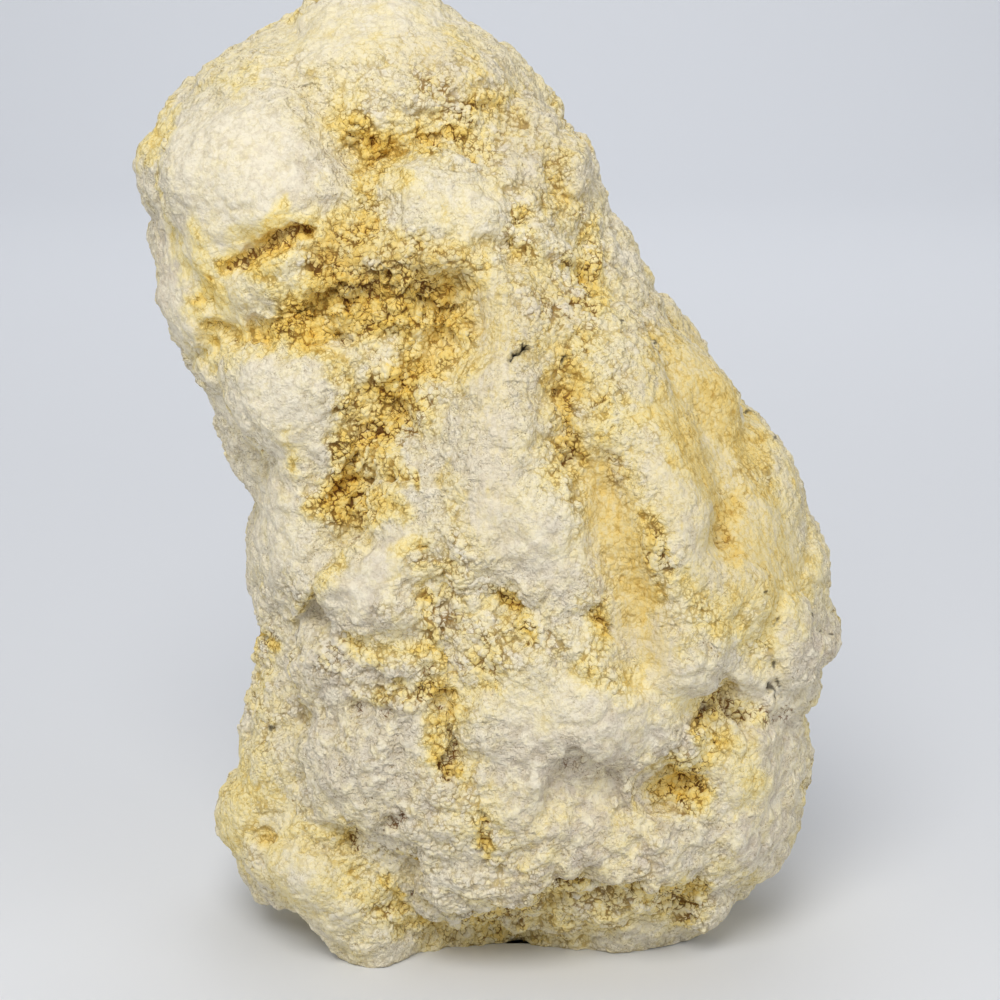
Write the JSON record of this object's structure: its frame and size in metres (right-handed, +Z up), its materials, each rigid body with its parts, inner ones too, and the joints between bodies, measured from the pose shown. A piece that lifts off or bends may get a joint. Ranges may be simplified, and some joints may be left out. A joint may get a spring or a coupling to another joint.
{
  "type": "quartz geode",
  "caption": "Knobbly chalk-white quartz geode stone with ochre powder in its hollows, standing upright on a flat broken base.",
  "frame": {"origin": "centre of the stone's outer box, at the height of the flat base", "axes": "+Z up along the stone's longest extent, -Y towards the side that is shown, +X to that side's right"},
  "size_m": [0.0608, 0.0466, 0.0822],
  "materials": {
    "rind": "matte"
  },
  "bodies": {
    "root": {"geode": "rind"}
  },
  "joints": []
}
